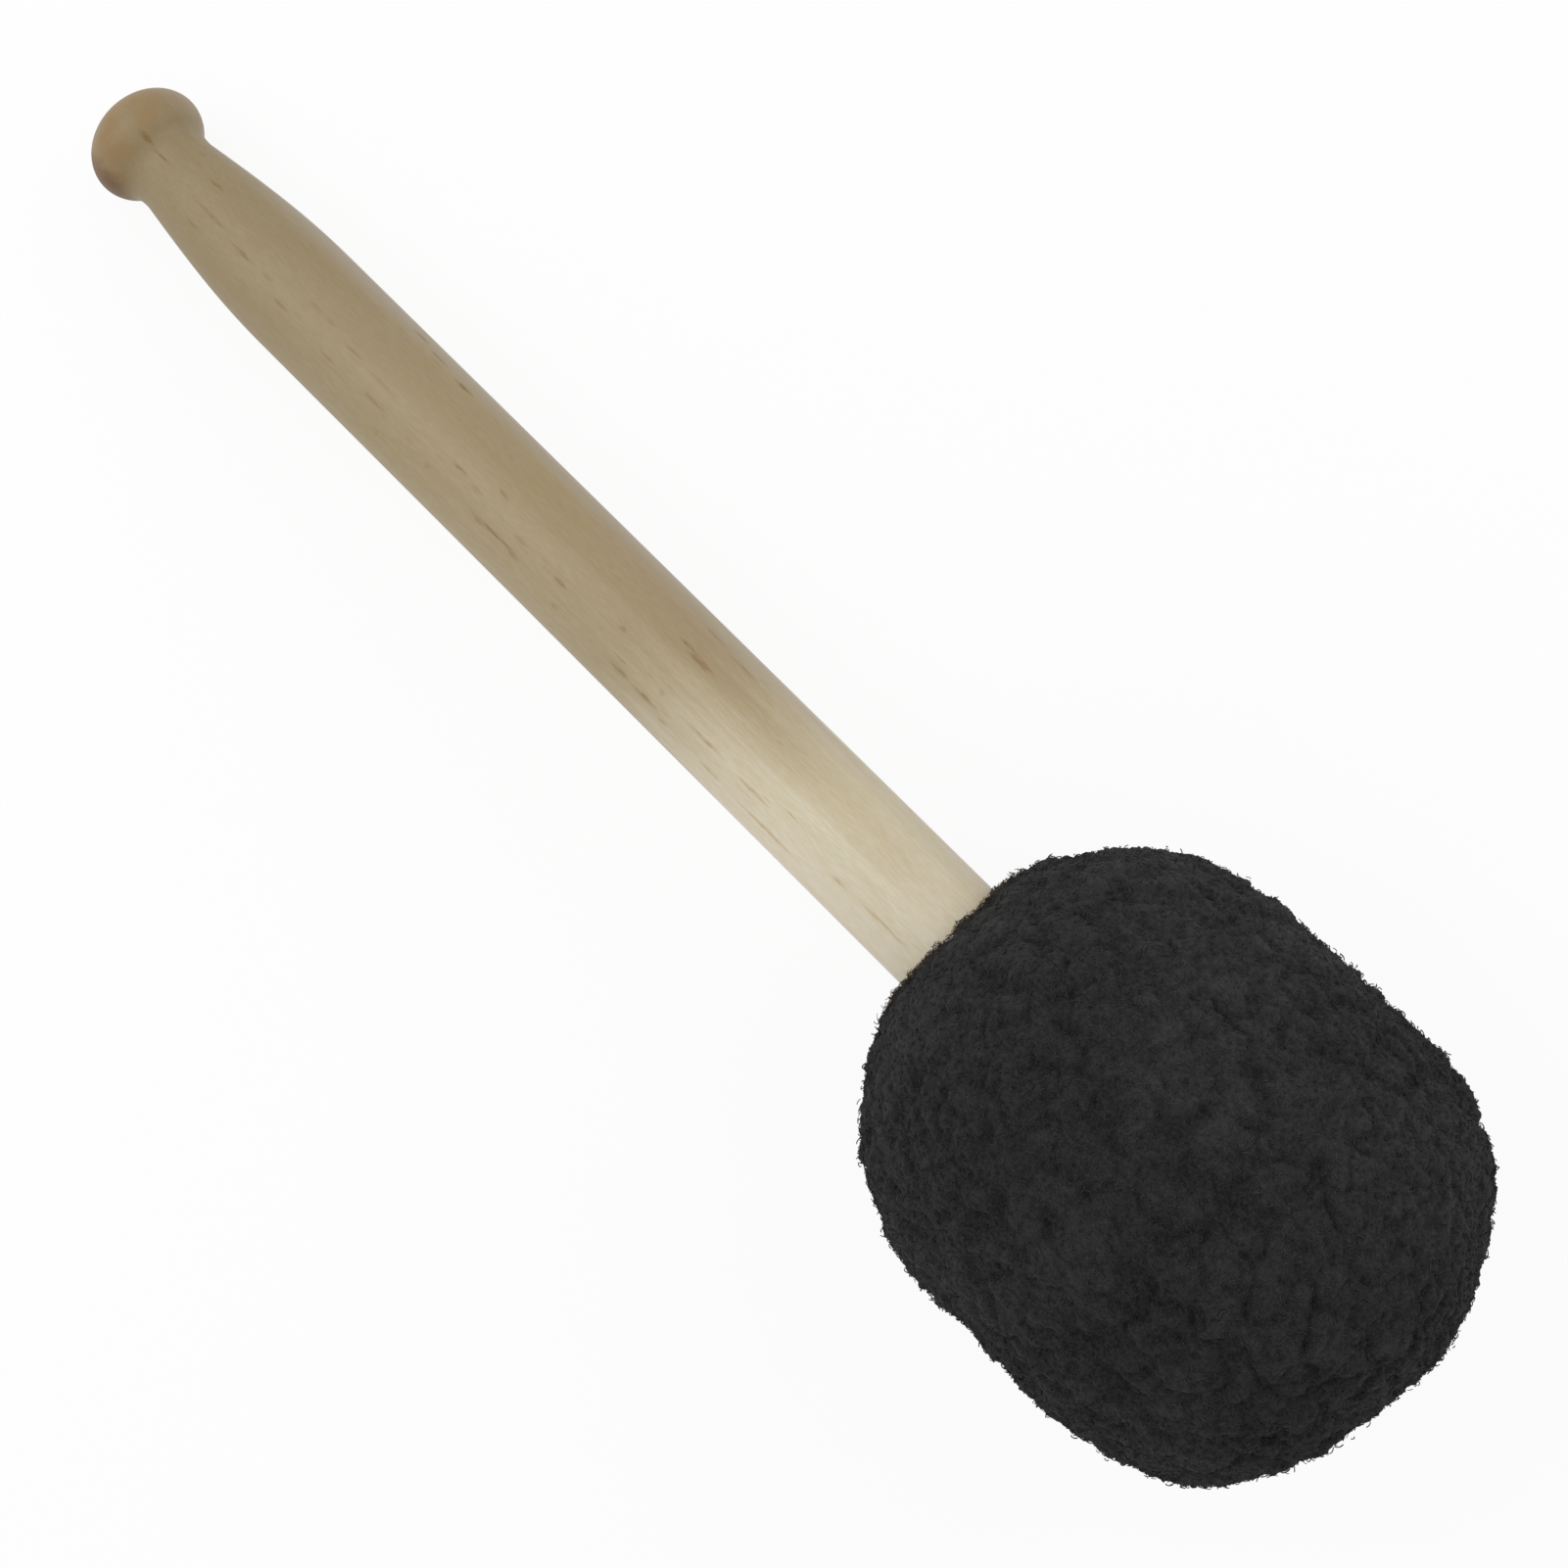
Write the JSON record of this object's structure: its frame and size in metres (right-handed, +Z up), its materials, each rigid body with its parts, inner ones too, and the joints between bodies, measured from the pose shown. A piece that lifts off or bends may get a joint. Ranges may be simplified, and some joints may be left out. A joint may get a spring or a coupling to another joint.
{
  "type": "bass drum mallet",
  "caption": "Bass drum mallet with a large rounded head in black fleece and a pale turned wooden handle that ends in a ball knob.",
  "frame": {"origin": "on the table under the middle of the mallet's box, as it lies on its knob and its head", "axes": "+X from the knob to the head along the table, +Z up, +Y across"},
  "size_m": [0.3522, 0.0976, 0.101],
  "materials": {
    "handle_wood": "pale hardwood with short reddish flecks along the grain, sanded smooth, thin satin oil",
    "core_wood": "turned softwood, unfinished",
    "felt": "dense pressed wool felt, matt",
    "fleece": "black curly fleece with a short knotted pile, matt",
    "thread": "waxed black sewing thread and cord",
    "steel": "plain zinc-grey steel"
  },
  "bodies": {
    "root": {"handle": "handle_wood", "core": "core_wood", "core_washer": "steel", "core_screw": "steel", "rear_felt_ring": "felt", "front_felt_disc": "felt", "front_felt_dome": "felt", "inner_felt_wrap": "felt", "inner_felt_lacing": "thread", "outer_felt_wrap": "felt", "outer_felt_lacing": "thread", "fleece_cover": "fleece", "neck_drawstring": "thread", "cover_seam_thread": "thread"}
  },
  "joints": []
}
